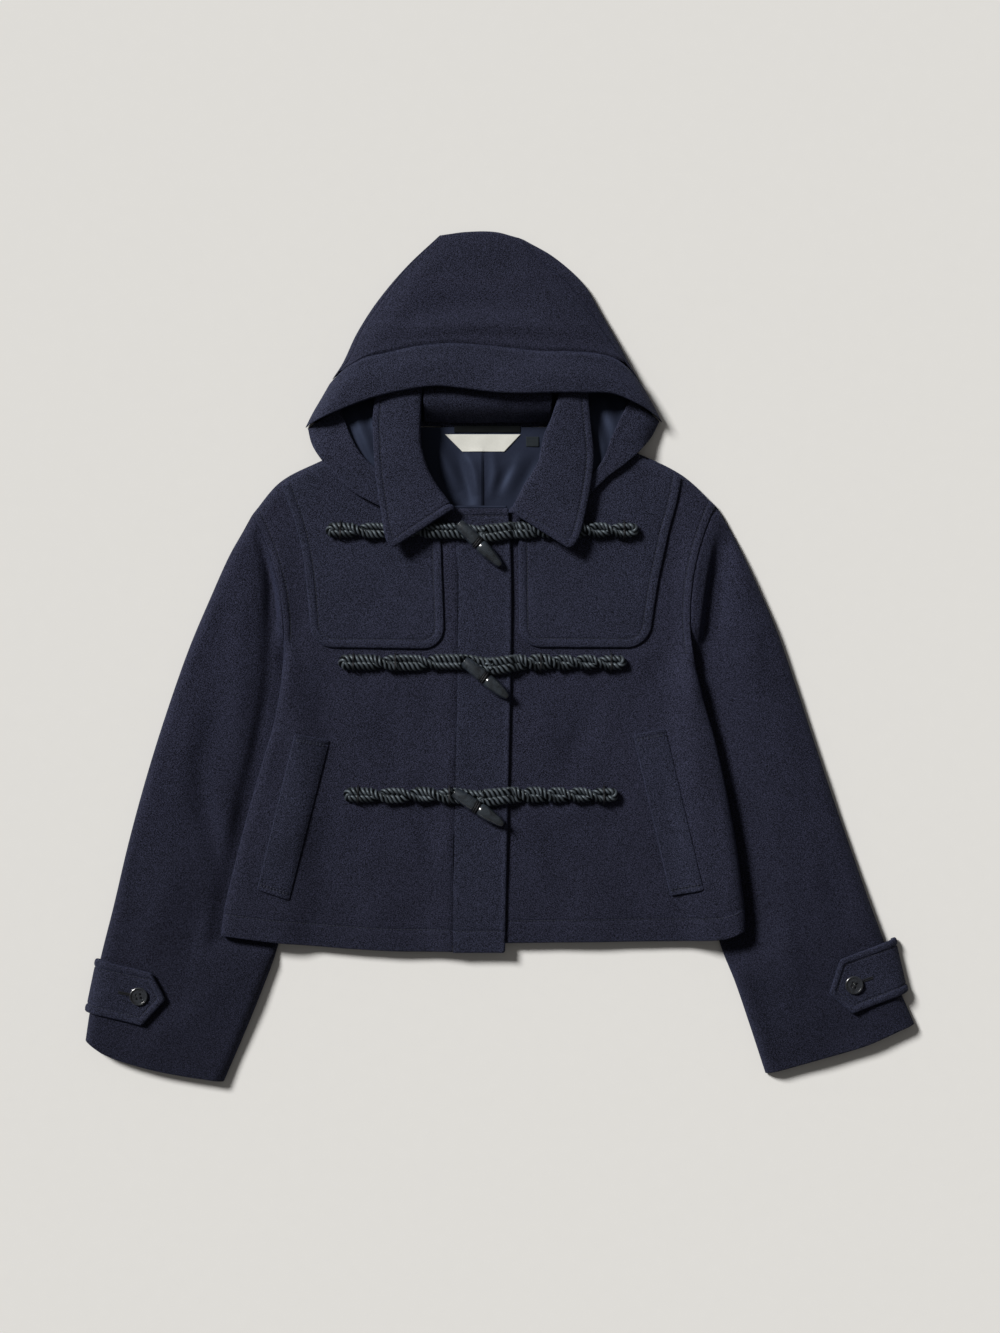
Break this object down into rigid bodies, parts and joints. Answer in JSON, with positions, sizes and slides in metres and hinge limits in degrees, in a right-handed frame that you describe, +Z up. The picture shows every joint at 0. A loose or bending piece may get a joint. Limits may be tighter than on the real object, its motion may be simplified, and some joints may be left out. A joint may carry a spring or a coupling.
{
  "type": "duffle coat laid flat",
  "caption": "Short hooded duffle coat laid flat on its back, front up, closed by horn toggles on doubled ropes, with open collar leaves and slanted pockets.",
  "frame": {"origin": "on the surface the coat lies on, under the middle of its outline seen from above", "axes": "+X to the wearer's left, +Y from the hem up to the hood, +Z up from the surface towards the front of the coat"},
  "size_m": [0.914, 0.9341, 0.0422],
  "materials": {
    "wool": "brushed wool",
    "lining": "satin",
    "braid": "woven tape",
    "label": "woven, bare",
    "horn": "polished",
    "rope": "twisted cord"
  },
  "bodies": {
    "root": {"back": "wool", "front_r": "wool", "front_l": "wool", "placket": "wool", "yoke_r": "wool", "yoke_l": "wool", "sleeve_top_r": "wool", "sleeve_top_l": "wool", "sleeve_under_r": "wool", "sleeve_under_l": "wool", "hood_crown": "wool", "hood_side_r": "wool", "hood_side_l": "wool", "hood_rim": "wool", "hood_back": "wool", "hood_flank_r": "wool", "hood_flank_l": "wool", "hood_lining_r": "lining", "hood_lining_l": "lining", "collar_r": "wool", "collar_l": "wool", "collar_back": "wool", "neck_lining": "lining", "hanger_band": "braid", "label": "label", "size_tab": "braid", "welt_r": "wool", "welt_l": "wool", "cuff_tab_r": "wool", "cuff_tab_l": "wool", "cuff_button_r": "horn", "cuff_button_l": "horn", "toggle_1": "horn", "toggle_2": "horn", "toggle_3": "horn", "rope_loop_1": "rope", "rope_loop_2": "rope", "rope_loop_3": "rope", "rope_r_1": "rope", "rope_r_2": "rope", "rope_r_3": "rope", "rope_l_1": "rope", "rope_l_2": "rope", "rope_l_3": "rope"}
  },
  "joints": []
}
